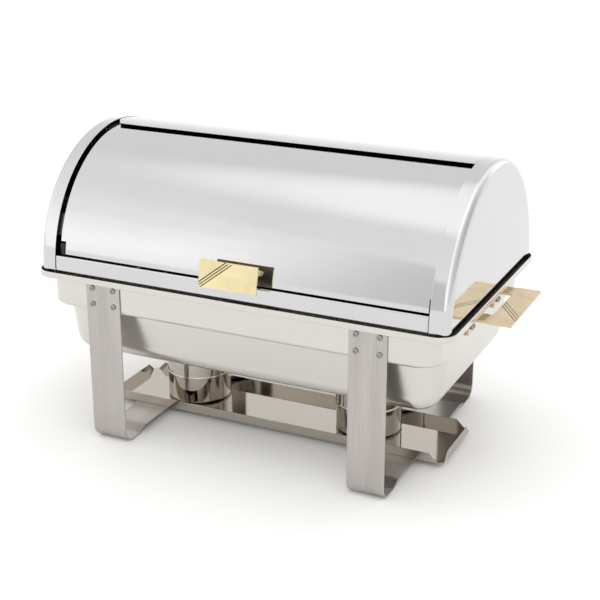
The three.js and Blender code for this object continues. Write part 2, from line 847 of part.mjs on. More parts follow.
function lidHandleNodes() {
  const group = toHandleFrame(new THREE.Group());
  const plate = block(
    -lidHandle.width / 2,
    lidHandle.width / 2,
    -lidHandle.height / 2,
    lidHandle.height / 2,
    -lidHandle.thickness,
    0,
  );
  // The posts end just short of the lid's outer face.
  const lean = radians(lidHandle.lean);
  const postRoot = new THREE.Vector2(lidHandle.centreY, lidHandle.centreZ - hood.axisZ).add(
    new THREE.Vector2(Math.sin(lean), Math.cos(lean)).multiplyScalar(lidHandle.postRise),
  );
  const inward = new THREE.Vector2(Math.cos(lean), -Math.sin(lean));
  // Where the post's line crosses the lid's cylinder.
  const along = postRoot.dot(inward);
  const reach = -along - Math.sqrt(along * along - postRoot.lengthSq() + lid.radius ** 2);
  const postEnd = reach - 0.9;
  const posts = [-0.5, 0.5].map((offset) =>
    disc(lidHandle.postRadius, -postEnd, -lidHandle.thickness / 2, 16).translate([
      offset * lidHandle.postSpacing,
      lidHandle.postRise,
      0,
    ]),
  );
  const threads = [-0.5, 0.5].map((offset) =>
    disc(1.9, -postEnd - 1, -postEnd + 8, 8).translate([
      offset * lidHandle.postSpacing,
      lidHandle.postRise,
      0,
    ]),
  );
  group.add(node("lid_handle", cut(join(plate, ...posts), ...threads), brass));
  for (const [side, signX] of SIDES) {
    const screw = panHeadScrew(`lid_handle_screw_${side}`, 3.6, 2, 1.5, 6);
    screw.rotation.x = Math.PI;
    screw.position.set((signX * lidHandle.postSpacing) / 2, lidHandle.postRise, -reach - SHEET - 0.9);
    group.add(screw);
  }
  return group;
}

function lidAssembly() {
  const group = new THREE.Group();
  group.position.x = lid.sideShift;
  group.add(rollLid(), lidHandleNodes());
  for (const [side, signX] of SIDES) {
    const arm = lidBracket(`lid_bracket_${side}`, signX);
    arm.position.x = signX * bracket.planeX;
    group.add(arm);
  }
  return group;
}

// ---------- the whole object ----------

const chafer = new THREE.Group();
chafer.add(baseAssembly());

const upper = new THREE.Group();
upper.position.z = hood.axisZ;
upper.add(hoodAssembly(), lidAssembly());
chafer.add(upper);

for (const [side, signX] of SIDES) {
  const holder = fuelHolder(side);
  holder.position.set(fuel.middleX + (signX * fuel.spacing) / 2, fuel.y, 0);
  chafer.add(holder);
}

// The origin is on the ground, under the middle of the object's box.
const bounds = new THREE.Box3().setFromObject(chafer);
const middle = bounds.getCenter(new THREE.Vector3());
chafer.position.set(-middle.x, -middle.y, -bounds.min.z);

export default chafer;
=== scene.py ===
import json
import math

import bmesh
import bpy
from mathutils import Matrix, Vector


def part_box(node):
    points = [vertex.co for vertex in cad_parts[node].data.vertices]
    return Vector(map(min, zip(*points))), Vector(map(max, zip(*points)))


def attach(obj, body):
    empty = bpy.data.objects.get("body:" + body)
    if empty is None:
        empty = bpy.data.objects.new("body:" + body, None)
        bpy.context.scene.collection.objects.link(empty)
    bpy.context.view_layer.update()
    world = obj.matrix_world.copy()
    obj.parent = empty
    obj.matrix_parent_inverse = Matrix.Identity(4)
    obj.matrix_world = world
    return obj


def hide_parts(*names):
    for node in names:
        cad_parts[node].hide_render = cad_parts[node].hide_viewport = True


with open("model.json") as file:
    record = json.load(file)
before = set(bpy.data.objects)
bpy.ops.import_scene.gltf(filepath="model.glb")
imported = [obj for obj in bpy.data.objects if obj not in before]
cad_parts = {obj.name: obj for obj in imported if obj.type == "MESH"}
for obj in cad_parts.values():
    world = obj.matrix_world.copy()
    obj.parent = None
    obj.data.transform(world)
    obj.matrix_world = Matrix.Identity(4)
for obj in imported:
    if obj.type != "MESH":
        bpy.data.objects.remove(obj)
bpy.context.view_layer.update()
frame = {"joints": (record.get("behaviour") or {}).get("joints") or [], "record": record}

# Roll-top chafing dish. Metres; +X along the length, +Y to the rear, +Z up.
# Every shape is built round MID_Y, the middle of the pan, and its outer sizes come from the CAD boxes.

MM = 0.001
SIDES = (("left", -1), ("right", 1))
ENDS = (("front", -1), ("rear", 1))
BODY_OF = {n: b for b, nodes in frame["record"]["behaviour"]["bodies"].items() for n in nodes}
SLOT_OF = {s["node"]: s["material_slot"] for s in frame["record"]["subparts"]}

pan_low, pan_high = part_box("water_pan")
MID_Y = (pan_low.y + pan_high.y) / 2
LID_AXIS_Z = next(j["pos_m"][2] for j in frame["joints"] if j["name"] == "lid_roll")


def box(node):
    """A node's box with Y counted from the middle of the pan."""
    low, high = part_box(node)
    shift = Vector((0, MID_Y, 0))
    return low - shift, high - shift


# ---------- mesh helpers ----------


def make_object(name, vertices, faces, away_from=None):
    """A mesh object, merged and with outward normals. An open surface turns away from a point."""
    mesh = bpy.data.meshes.new(name)
    mesh.from_pydata([tuple(v) for v in vertices], [], faces)
    work = bmesh.new()
    work.from_mesh(mesh)
    bmesh.ops.remove_doubles(work, verts=work.verts, dist=1e-7)
    bmesh.ops.dissolve_degenerate(work, edges=work.edges, dist=1e-7)
    bmesh.ops.recalc_face_normals(work, faces=work.faces)
    if away_from is not None:
        centre = Vector(away_from)
        facing = sum(
            f.normal.dot(f.calc_center_median() - centre) * f.calc_area() for f in work.faces
        )
        if facing < 0:
            bmesh.ops.reverse_faces(work, faces=work.faces)
    work.to_mesh(mesh)
    work.free()
    obj = bpy.data.objects.new(name, mesh)
    bpy.context.scene.collection.objects.link(obj)
    return obj


def modifier(obj, kind, **settings):
    added = obj.modifiers.new(kind.lower(), kind)
    for key, value in settings.items():
        setattr(added, key, value)
    return added


def apply_modifiers(obj):
    bpy.context.view_layer.update()
    evaluated = obj.evaluated_get(bpy.context.evaluated_depsgraph_get())
    mesh = bpy.data.meshes.new_from_object(evaluated)
    obj.modifiers.clear()
    obj.data = mesh
    return obj


def finish_edges(obj, width=0.3 * MM, segments=2, angle=32):
    """Rounds the sharp edges a little and shades the piece smooth."""
    modifier(
        obj,
        "BEVEL",
        width=width,
        segments=segments,
        limit_method="ANGLE",
        angle_limit=math.radians(angle),
        harden_normals=False,
    )
    modifier(obj, "WEIGHTED_NORMAL", keep_sharp=True)
    for polygon in obj.data.polygons:
        polygon.use_smooth = True
    return obj


def carve(obj, *cutters, operation="DIFFERENCE"):
    for cutter in cutters:
        modifier(obj, "BOOLEAN", object=cutter, operation=operation, solver="EXACT")
    apply_modifiers(obj)
    for cutter in cutters:
        bpy.data.objects.remove(cutter)
    return obj


def slab(name, low, high):
    """A block, as a cutter or as a limb of a larger piece."""
    corners = [
        Vector((x, y, z)) for x in (low[0], high[0]) for y in (low[1], high[1]) for z in (low[2], high[2])
    ]
    faces = [(0, 1, 3, 2), (4, 6, 7, 5), (0, 4, 5, 1), (2, 3, 7, 6), (0, 2, 6, 4), (1, 5, 7, 3)]
    return make_object(name, corners, faces)


def rect_ring(half_x, half_y, corner, z, steps=14):
    """The outline of a rounded rectangle, anticlockwise, always with the same number of points."""
    ring = []
    for quarter in range(4):
        cx = (half_x - corner) * (1 if quarter in (0, 3) else -1)
        cy = (half_y - corner) * (1 if quarter < 2 else -1)
        for step in range(steps + 1):
            angle = (quarter + step / steps) * math.pi / 2
            ring.append(Vector((cx + corner * math.cos(angle), cy + corner * math.sin(angle), z)))
    return ring


def bridge(count, first, second):
    """Quads between two closed rings of vertices."""
    return [
        (first + i, first + (i + 1) % count, second + (i + 1) % count, second + i)
        for i in range(count)
    ]


def loft(name, rings, caps=True):
    """A closed solid through closed rings, with flat ends, or joined end to end into a ring solid."""
    count = len(rings[0])
    vertices = [point for ring in rings for point in ring]
    faces = []
    for row in range(len(rings) - 1):
        faces += bridge(count, row * count, (row + 1) * count)
    last = (len(rings) - 1) * count
    if caps:
        faces.append(tuple(reversed(range(count))))
        faces.append(tuple(range(last, last + count)))
    else:
        faces += bridge(count, last, 0)
    return make_object(name, vertices, faces)


def lathe(name, profile, segments=64):
    """Turns (radius, height) pairs round Z. A profile that ends on the axis is closed there."""
    vertices, rows, faces = [], [], []
    for radius, height in profile:
        if radius < 1e-9:
            rows.append([len(vertices)])
            vertices.append((0, 0, height))
        else:
            rows.append(list(range(len(vertices), len(vertices) + segments)))
            for i in range(segments):
                angle = 2 * math.pi * i / segments
                vertices.append((radius * math.cos(angle), radius * math.sin(angle), height))
    closed = len(rows[0]) > 1
    pairs = list(zip(rows, rows[1:])) + ([(rows[-1], rows[0])] if closed else [])
    for low, high in pairs:
        for i in range(segments):
            j = (i + 1) % segments
            corners = [low[i % len(low)], low[j % len(low)], high[j % len(high)], high[i % len(high)]]
            face = tuple(dict.fromkeys(corners))
            if len(face) > 2:
                faces.append(face)
    return make_object(name, vertices, faces)


def arc_2d(centre, radius, start, end, steps):
    """Points of an arc, degrees, anticlockwise from +X."""
    return [
        Vector(
            (
                centre[0] + radius * math.cos(math.radians(start + (end - start) * i / steps)),
                centre[1] + radius * math.sin(math.radians(start + (end - start) * i / steps)),
            )
        )
        for i in range(steps + 1)
    ]


def offset_path(path, distance):
    """The polyline moved to its left, with mitred corners."""
    normals = []
    for a, b in zip(path, path[1:]):
        along = (b - a).normalized()
        normals.append(Vector((-along.y, along.x)))
    moved = []
    for i, point in enumerate(path):
        before = normals[max(i - 1, 0)]
        after = normals[min(i, len(normals) - 1)]
        moved.append(point + (before + after) * (distance / (1 + before.dot(after))))
    return moved


def sheet_along_x(name, path, thickness, x0, x1):
    """A bent sheet: the path in the Y-Z plane is one face, the other lies to its left."""
    inner = offset_path(path, thickness)
    count = len(path)
    vertices = [(x, p.x, p.y) for x in (x0, x1) for line in (path, inner) for p in line]
    a, b, c, d = 0, count, 2 * count, 3 * count
    faces = []
    for i in range(count - 1):
        faces.append((a + i, a + i + 1, c + i + 1, c + i))
        faces.append((b + i, d + i, d + i + 1, b + i + 1))
        faces.append((a + i, b + i, b + i + 1, a + i + 1))
        faces.append((c + i, c + i + 1, d + i + 1, d + i))
    for i in (0, count - 1):
        faces.append((a + i, c + i, d + i, b + i))
    return make_object(name, vertices, faces)


def hood_point(radius, angle):
    """A point of the hood's section; the angle is counted up from the front."""
    turn = math.radians(angle)
    return Vector((-radius * math.cos(turn), LID_AXIS_Z + radius * math.sin(turn)))


def hood_arc(radius, start, end, step=1.5):
    count = max(1, round(abs(end - start) / step))
    return [hood_point(radius, start + (end - start) * i / count) for i in range(count + 1)]


def hood_angle(y, z):
    return math.degrees(math.atan2(z - LID_AXIS_Z, -y))


# ---------- materials ----------


class Graph:
    """A small helper that adds and links shader nodes."""

    def __init__(self, name):
        self.material = bpy.data.materials.new(name)
        self.material.use_nodes = True
        self.tree = self.material.node_tree
        self.shader = self.tree.nodes["Principled BSDF"]

    def add(self, kind, **inputs):
        node = self.tree.nodes.new("ShaderNode" + kind)
        for key, value in inputs.items():
            socket = node.inputs[key.replace("_", " ")]
            if isinstance(value, bpy.types.NodeSocket):
                self.tree.links.new(value, socket)
            else:
                socket.default_value = value
        return node

    def position(self, scale=(1, 1, 1)):
        """Object coordinates, stretched."""
        coordinates = self.tree.nodes.new("ShaderNodeTexCoord").outputs["Object"]
        return self.add("Mapping", Vector=coordinates, Scale=scale).outputs["Vector"]

    def noise(self, scale, stretch=(1, 1, 1), detail=3.0, roughness=0.55):
        node = self.add("TexNoise", Vector=self.position(stretch), Scale=scale, Detail=detail)
        node.inputs["Roughness"].default_value = roughness
        return node.outputs["Fac"]

    def remap(self, value, low, high, start=0.3, end=0.7):
        """A noise value, taken from start..end to low..high."""
        node = self.add("MapRange", Value=value)
        settings = {"From Min": start, "From Max": end, "To Min": low, "To Max": high}
        for key, number in settings.items():
            node.inputs[key].default_value = number
        return node.outputs["Result"]

    def math(self, operation, a, b):
        node = self.tree.nodes.new("ShaderNodeMath")
        node.operation = operation
        for socket, value in zip(node.inputs, (a, b)):
            if isinstance(value, bpy.types.NodeSocket):
                self.tree.links.new(value, socket)
            else:
                socket.default_value = value
        return node.outputs["Value"]

    def blend_colour(self, factor, first, second):
        node = self.tree.nodes.new("ShaderNodeMix")
        node.data_type = "RGBA"
        self.tree.links.new(factor, node.inputs[0])
        node.inputs[6].default_value = (*first, 1)
        node.inputs[7].default_value = (*second, 1)
        return node.outputs[2]

    def bump(self, height, distance, strength=1.0, after=None):
        node = self.add("Bump", Height=height, Distance=distance, Strength=strength)
        if after is not None:
            self.tree.links.new(after, node.inputs["Normal"])
        return node.outputs["Normal"]

    def finish(self, colour, roughness, normal=None, metallic=1.0):
        for key, value in (("Base Color", colour), ("Roughness", roughness), ("Normal", normal)):
            if value is not None:
                self.tree.links.new(value, self.shader.inputs[key])
        self.shader.inputs["Metallic"].default_value = metallic
        return self.material


def mirror_steel(name, tint=(0.62, 0.62, 0.625), grain=(1, 60, 60), haze=0.035):
    """Polished stainless: a mirror with faint polishing lines, soft waves and smudges."""
    g = Graph(name)
    smudge = g.noise(9, detail=4)
    lines = g.noise(14, grain, detail=2)
    darker = tuple(c * 0.96 for c in tint)
    colour = g.blend_colour(g.remap(smudge, 0, 1), tint, darker)
    fine = g.remap(lines, -0.01, 0.02)
    rough = g.math("ADD", g.remap(smudge, haze, haze + 0.03), fine)
    waves = g.bump(g.noise(5, detail=1), 0.12 * MM)
    normal = g.bump(lines, 0.002 * MM, after=waves)
    return g.finish(colour, rough, normal)


def grained_steel(name, tint, second, grain, roughness, depth=0.006 * MM):
    """Brushed or satin stainless: fine strokes along one direction, over wider faint streaks."""
    g = Graph(name)
    strokes = g.noise(9, grain, detail=6, roughness=0.75)
    streaks = g.noise(4, tuple(max(c * 0.12, 1) for c in grain), detail=4)
    cloud = g.noise(12, detail=3)
    mix = g.math("ADD", g.remap(strokes, 0, 0.6, 0.25, 0.75), g.remap(streaks, 0, 0.4))
    colour = g.blend_colour(mix, tint, second)
    low, high = roughness
    rough = g.math("ADD", g.remap(strokes, low, high), g.remap(cloud, -0.03, 0.03))
    normal = g.bump(strokes, depth, after=g.bump(cloud, 0.05 * MM))
    return g.finish(colour, rough, normal)


def pale_brass(name, bright=(0.80, 0.70, 0.44), dull=(0.74, 0.62, 0.35), polish=(0.16, 0.26)):
    """Cast brass, polished, with a little tarnish in clouds and fine buffing marks."""
    g = Graph(name)
    tarnish = g.noise(45, detail=4)
    marks = g.noise(60, (1, 8, 8), detail=3)
    colour = g.blend_colour(g.remap(tarnish, 0, 1), bright, dull)
    rough = g.math("ADD", g.remap(tarnish, *polish), g.remap(marks, -0.02, 0.05))
    normal = g.bump(marks, 0.006 * MM)
    return g.finish(colour, rough, normal)


def black_rubber(name):
    g = Graph(name)
    pores = g.noise(900, detail=3)
    colour = g.blend_colour(pores, (0.012, 0.012, 0.012), (0.03, 0.03, 0.03))
    return g.finish(colour, g.remap(pores, 0.6, 0.85), g.bump(pores, 0.05 * MM), metallic=0.0)


def painted_shade_steel(name):
    """The inside of the gutter's ends: rough, unpolished stainless whose dark, mottled colour is painted
    shade.
    """
    g = Graph(name)
    shade_noise = g.noise(30, detail=4)
    colour = g.blend_colour(g.remap(shade_noise, 0, 1), (0.08, 0.08, 0.08), (0.13, 0.125, 0.12))
    return g.finish(colour, g.remap(shade_noise, 0.45, 0.65), g.bump(shade_noise, 0.05 * MM))


MATERIALS = {
    "polished_steel": mirror_steel("polished_steel"),
    "satin_steel": grained_steel(
        "satin_steel", (0.66, 0.64, 0.605), (0.63, 0.61, 0.575), (40, 40, 400), (0.20, 0.26), 0.0015 * MM
    ),
    "brushed_steel": grained_steel(
        "brushed_steel", (0.57, 0.535, 0.52), (0.38, 0.36, 0.335), (110, 2, 2), (0.26, 0.40)
    ),
    "fastener_steel": mirror_steel("fastener_steel", (0.62, 0.62, 0.62), (80, 80, 80), 0.12),
    "brass": pale_brass("brass"),
    "black_rubber": black_rubber("black_rubber"),
}
# A darker, browner copy of the polished steel for the shelf and fuel holders: painted shade for the dim
# surroundings under the pan.
UNDER_PAN_SHADE_STEEL = mirror_steel("warm_polished_steel", (0.50, 0.465, 0.42), haze=0.05)
# A darker copy of the fastener steel for the leg and end handle screws: painted dark reflection of the dim
# things their heads face.
SHADED_SCREW_STEEL = mirror_steel("dark_fastener_steel", (0.33, 0.32, 0.31), (80, 80, 80), 0.2)
# A darker copy of the brass for the end handles: painted shade.
SHADED_HANDLE_BRASS = pale_brass("tan_brass", (0.68, 0.55, 0.36), (0.60, 0.47, 0.29), (0.14, 0.24))
# Dark brass in the grooves: painted shade.
GROOVE_SHADE = pale_brass("groove_brass", (0.16, 0.12, 0.06), (0.11, 0.08, 0.04), (0.4, 0.5))
# Dark brass on the lid handle's back: painted shade.
PLATE_BACK_SHADE = pale_brass("handle_back_brass", (0.26, 0.22, 0.17), (0.20, 0.16, 0.12), (0.35, 0.45))
# Dark steel for the gutter's ends: painted shade.
GUTTER_SHADE = painted_shade_steel("gutter_steel")


def settle(obj, *nodes, material=None):
    """The piece stands for CAD nodes: it rides on their body and takes their slot's finish."""
    slot = SLOT_OF[nodes[0]]
    if len(obj.data.materials) < 2:
        obj.data.materials.clear()
        obj.data.materials.append(material or MATERIALS[slot])
    obj.location.y += MID_Y
    bpy.context.view_layer.update()
    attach(obj, BODY_OF[nodes[0]])
    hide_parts(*nodes)
    return obj


# ---------- pans and the rim frame ----------

SHEET = 1.0 * MM
rim_low, rim_high = box("rim_frame")
food_low, food_high = box("food_pan")


def fillet_levels(z, half_x, half_y, corner, radius, steps=10):
    """Rounds the bottom edge of a pan, from its floor up to its wall."""
    levels = []
    for i in range(steps + 1):
        angle = i / steps * math.pi / 2
        inset = radius * (1 - math.sin(angle))
        rise = radius * (1 - math.cos(angle))
        levels.append((half_x - inset, half_y - inset, max(corner - inset, 4 * MM), z + rise))
    return levels


def water_pan_levels(inset):
    """The deep pan: a rounded floor, a body that tapers, a stepped shoulder and an upright band."""
    low, high = box("water_pan")
    band_x, band_y, band_corner = high.x, pan_high.y - MID_Y, 27 * MM
    body_x, body_y, body_corner = band_x - 2.5 * MM, band_y - 14.6 * MM, 48 * MM
    step_z = low.z + 76.5 * MM
    round_out = 6 * MM
    levels = fillet_levels(low.z, band_x - 9.5 * MM, band_y - 26.1 * MM, 33 * MM, 26 * MM)
    turn_in = 2.5 * MM
    levels.append((body_x - 0.2 * MM, body_y - 0.4 * MM, body_corner, step_z - turn_in))
    shoulder = [(0.0, 0.0), (0.12, 0.0), (0.35, 0.0)]
    flat_share = 1 - round_out / (band_y - body_y)
    for i in range(7):
        angle = i / 6 * math.pi / 2
        out = flat_share + (1 - flat_share) * math.sin(angle)
        shoulder.append((out, round_out * (1 - math.cos(angle))))
    for out, rise in shoulder:
        levels.append(
            (
                body_x + (band_x - body_x) * out,
                body_y + (band_y - body_y) * out,
                body_corner + (band_corner - body_corner) * out,
                step_z + rise,
            )
        )
    levels.append((band_x, band_y, band_corner, high.z - inset))
    return [(x - inset, y - inset, r - inset, z + inset) for x, y, r, z in levels]


def food_pan_levels(inset):
    low, high = food_low, food_high
    mouth_x, mouth_y = high.x - 15 * MM, high.y - 15 * MM
    levels = fillet_levels(low.z, mouth_x - 9 * MM, mouth_y - 9 * MM, 36 * MM, 14 * MM, 8)
    levels.append((mouth_x, mouth_y, 42 * MM, high.z - SHEET - 3 * MM))
    return [(x - inset, y - inset, r - inset, z + inset) for x, y, r, z in levels]


def pan_solid(name, outer, inner):
    rings = [rect_ring(*level) for level in outer]
    rings += [rect_ring(*level) for level in reversed(inner)]
    return loft(name, rings)


def build_water_pan():
    pan = pan_solid("water_pan_body", water_pan_levels(0), water_pan_levels(SHEET))
    settle(finish_edges(pan), "water_pan")


def build_food_pan():
    """The gastronorm pan: tapered walls and a flat rim with a rounded turn."""
    high = food_high
    outer = food_pan_levels(0)
    inner = food_pan_levels(SHEET)
    x, y, r, z = outer[-1]
    turn = 3 * MM
    under, over = [], []
    for i in range(1, 6):
        angle = i / 5 * math.pi / 2
        out, rise = turn * (1 - math.cos(angle)), turn * math.sin(angle)
        under.append((x + out, y + out, r, z + rise))
        over.append((x + out - SHEET, y + out - SHEET, r, z + rise + SHEET))
    rim_corner = 26 * MM
    under.append((high.x, high.y, rim_corner, high.z - SHEET))
    over.append((high.x, high.y, rim_corner, high.z))
    rings = [rect_ring(*level) for level in outer + under]
    rings += [rect_ring(*level) for level in reversed(inner[:-1] + [(x - SHEET, y - SHEET, r, z)] + over)]
    settle(finish_edges(loft("food_pan_body", rings)), "food_pan")


def outline_distance(point, half_x, half_y, corner):
    """How far a point is outside a rounded rectangle; negative is inside."""
    dx = abs(point.x) - half_x + corner
    dy = abs(point.y) - half_y + corner
    return math.hypot(max(dx, 0), max(dy, 0)) + min(max(dx, dy), 0) - corner


def build_rim_frame():
    """Ledge for the food pan, gutter for the hood and a folded outer lip, in one section."""
    low, high = rim_low, rim_high
    ledge_z = food_low.z + 65 * MM - 0.3 * MM
    opening = (high.x - 46 * MM, high.y - 31 * MM, 48 * MM)
    ledge = (high.x - 28 * MM, high.y - 16 * MM, 15 * MM)
    wall = (high.x, high.y, 25 * MM)

    def level(base, out, z):
        return (base[0] + out, base[1] + out, base[2] + out, z)

    hem = 1.6 * MM
    section = [
        level(opening, 0, ledge_z),
        level(opening, 0.6 * MM, ledge_z),
        level(ledge, -1.2 * MM, ledge_z),
        level(ledge, -0.35 * MM, ledge_z - 0.35 * MM),
        level(ledge, 0, ledge_z - 1.2 * MM),
        level(ledge, 0, low.z + SHEET + 0.8 * MM),
        level(ledge, 0.8 * MM, low.z + SHEET),
        level(wall, -hem - 1.2 * MM, low.z + SHEET),
        level(wall, -hem - 0.3 * MM, low.z + SHEET + 0.4 * MM),
        level(wall, -hem, low.z + SHEET + 1.4 * MM),
        level(wall, -hem, high.z - 0.8 * MM),
        level(wall, -hem * 0.85, high.z - 0.2 * MM),
        level(wall, -hem * 0.5, high.z),
        level(wall, -hem * 0.15, high.z - 0.2 * MM),
        level(wall, 0, high.z - 0.8 * MM),
        level(wall, 0, low.z + 0.6 * MM),
        level(wall, -0.6 * MM, low.z),
        level(ledge, 0, low.z),
        level(ledge, -SHEET, low.z + 0.6 * MM),
        level(ledge, -SHEET, ledge_z - SHEET - 0.6 * MM),
        level(ledge, -1.8 * MM, ledge_z - SHEET),
        level(opening, 0.6 * MM, ledge_z - SHEET),
        level(opening, 0, ledge_z - SHEET),
    ]
    rings = [rect_ring(*entry) for entry in section]
    ring = loft("rim_frame_ring", rings, caps=False)
    ring.data.materials.append(MATERIALS["satin_steel"])
    ring.data.materials.append(GUTTER_SHADE)
    # Faces inside the lip at the gutter's ends take the dark steel, which is painted shade.
    for polygon in ring.data.polygons:
        centre = polygon.center
        inside_lip = outline_distance(centre, *wall) < -hem * 0.9
        outside_ledge = outline_distance(centre, *ledge) > -0.2 * MM
        at_the_ends = abs(centre.x) > ledge[0] - 5 * MM
        if inside_lip and outside_ledge and at_the_ends and centre.z > low.z + 0.9 * MM:
            polygon.material_index = 1
    settle(finish_edges(ring, 0.2 * MM), "rim_frame")


# ---------- legs and shelf ----------


def build_leg_frame(side):
    """One strap: upright, bend, foot, ramp and cross strip, mirrored to the rear."""
    low, high = box(f"leg_frame_{side}")
    face, top = high.y, high.z
    thick = 2 * MM
    bend, foot_end, strip_end, strip_z = 19 * MM, 144 * MM, 128 * MM, 6 * MM
    bend_arc = arc_2d((-face + bend, bend), bend, 180, 270, 16)
    front = [Vector((-face, top)), Vector((-face, bend + 20 * MM)), *bend_arc]
    slope = Vector((foot_end - strip_end, strip_z)).normalized() * 4 * MM
    corner = Vector((-foot_end, 0))
    knee = Vector((-strip_end, strip_z))
    front += [corner - Vector((3 * MM, 0)), corner - Vector((0.8 * MM, -0.1 * MM))]
    front += [corner + slope * 0.5, knee - slope * 0.6, knee + Vector((0.9 * MM, -0.08 * MM))]
    front += [knee + Vector((4 * MM, 0))]
    rear = [Vector((-p.x, p.y)) for p in reversed(front)]
    strap = sheet_along_x(f"leg_strap_{side}", front + rear, thick, low.x, high.x)
    settle(finish_edges(strap, 0.5 * MM, 3), f"leg_frame_{side}")


def build_shelf():
    """The tray: a flat floor with cut corners and an upright flange on each straight edge."""
    low, high = box("fuel_shelf")
    half_x, half_y = high.x, (high.y - low.y) / 2
    long_half, end_half = half_x - 6.5 * MM, half_y - 5 * MM
    height = high.z - low.z
    outline = [(half_x, -end_half), (half_x, end_half), (long_half, half_y), (-long_half, half_y)]
    outline += [(-x, -y) for x, y in outline]
    count = len(outline)
    vertices = [(x, y, z) for z in (0, SHEET) for x, y in outline]
    faces = bridge(count, 0, count) + [tuple(range(count)), tuple(range(count, 2 * count))]
    tray = make_object("shelf_tray", vertices, faces)

    def flange(half_length, edge, turn):
        """A sheet with ends that slope in at 45 degrees; turn swings it to its own edge."""
        top = half_length - height
        section = [(-half_length, 0), (half_length, 0), (top, height), (-top, height)]
        corners = [(x, y, z) for y in (-edge, -edge + SHEET) for x, z in section]
        sheet = make_object("limb", corners, bridge(4, 0, 4) + [(0, 1, 2, 3), (4, 5, 6, 7)])
        sheet.data.transform(Matrix.Rotation(math.radians(turn), 4, "Z"))
        return sheet

    flanges = [flange(long_half, half_y, 0), flange(long_half, half_y, 180)]
    flanges += [flange(end_half, half_x, 90), flange(end_half, half_x, -90)]
    carve(tray, *flanges, operation="UNION")
    tray.location = (0, (low.y + high.y) / 2, low.z)
    settle(finish_edges(tray, 0.35 * MM, 3), "fuel_shelf", material=UNDER_PAN_SHADE_STEEL)


# ---------- fuel holders ----------


def build_fuel_holder(side):
    low, high = box(f"fuel_cup_{side}")
    centre = (low + high) / 2
    radius = (high.x - low.x) / 2
    z0, z1 = low.z, high.z
    fillet = 4 * MM
    corner = [(radius - fillet + p.x, z0 + fillet + p.y) for p in arc_2d((0, 0), fillet, 270, 360, 6)]
    inner_fillet = fillet - SHEET
    inner = [
        (radius - fillet + p.x, z0 + fillet + p.y)
        for p in arc_2d((0, 0), inner_fillet, 360, 270, 6)
    ]
    profile = [(0, z0), *corner, (radius, z1), (radius - SHEET, z1), *inner, (0, z0 + SHEET)]
    cup = lathe(f"fuel_can_holder_{side}", profile, 96)
    cup.location = (centre.x, centre.y, 0)
    settle(finish_edges(cup), f"fuel_cup_{side}", material=UNDER_PAN_SHADE_STEEL)

    low, high = box(f"fuel_cover_{side}")
    outside, hole = (high.x - low.x) / 2, 26 * MM
    z0, z1 = low.z, high.z
    inside = outside - 0.5 * MM
    bead = 0.8 * MM
    turn = 2.2 * MM
    shoulder = [
        (outside - bead - turn + p.x, z1 - turn + p.y) for p in arc_2d((0, 0), turn, 0, 90, 6)
    ]
    profile = [
        (inside, z0),
        (outside - 0.1 * MM, z0),
        (outside, z0 + bead),
        (outside, z0 + 2 * bead),
        (outside - bead, z0 + 4 * bead),
        *shoulder,
        (hole + 1.5 * MM, z1),
        (hole, z1 - 0.5 * MM),
        (hole, z1 - SHEET),
        (inside - bead - turn, z1 - SHEET),
        (inside - bead, z1 - SHEET - turn * 0.6),
        (inside - bead, z0 + 4 * bead),
    ]
    cover = lathe(f"fuel_holder_cover_{side}", profile, 96)
    cover.location = (centre.x, centre.y, 0)
    settle(finish_edges(cover, 0.15 * MM), f"fuel_cover_{side}", material=UNDER_PAN_SHADE_STEEL)

    # The damper: a disc with a lug round the rivet, with straight sides between the two.
    low, high = box(f"fuel_damper_{side}")
    rivet_low, rivet_high = box(f"damper_rivet_{side}")
    rivet = (rivet_low + rivet_high) / 2
    plate_radius = (high.y - low.y) / 2
    outline = []
    lug, reach = 9.5 * MM, centre.x - rivet.x
    spread = math.degrees(math.acos((plate_radius - lug) / reach))
    outline += arc_2d((centre.x, 0), plate_radius, -180 + spread, 180 - spread, 72)
    outline += arc_2d((rivet.x, 0), lug, 180 - spread, 180 + spread, 14)
    vertices = [(p.x, centre.y + p.y, z) for z in (low.z, high.z) for p in outline]
    count = len(outline)
    faces = bridge(count, 0, count) + [tuple(range(count)), tuple(range(count, 2 * count))]
    damper = make_object(f"damper_plate_{side}", vertices, faces)
    bore_radius = 2.5 * MM
    bore_profile = [
        (0, low.z - MM),
        (bore_radius, low.z - MM),
        (bore_radius, high.z + MM),
        (0, high.z + MM),
    ]
    hole = lathe("cutter", bore_profile, 24)
    hole.location = (rivet.x, rivet.y, 0)
    carve(damper, hole)
    settle(finish_edges(damper, 0.2 * MM), f"fuel_damper_{side}", material=UNDER_PAN_SHADE_STEEL)

    top = rivet_high.z
    plate_top = high.z + 0.3 * MM
    head = 4 * MM
    shank = 2.2 * MM
    dome = [
        (head * math.cos(t), plate_top + (top - plate_top) * math.sin(t))
        for t in (a / 6 * math.pi / 2 for a in range(6))
    ]
    profile = [
        (0, rivet_low.z),
        (shank, rivet_low.z),
        (shank, plate_top),
        (head - 0.2 * MM, plate_top),
        *dome,
        (0, top),
    ]
    pin = lathe(f"damper_rivet_head_{side}", profile, 32)
    pin.location = (rivet.x, rivet.y, 0)
    settle(finish_edges(pin, 0.1 * MM), f"damper_rivet_{side}")


# ---------- screws ----------


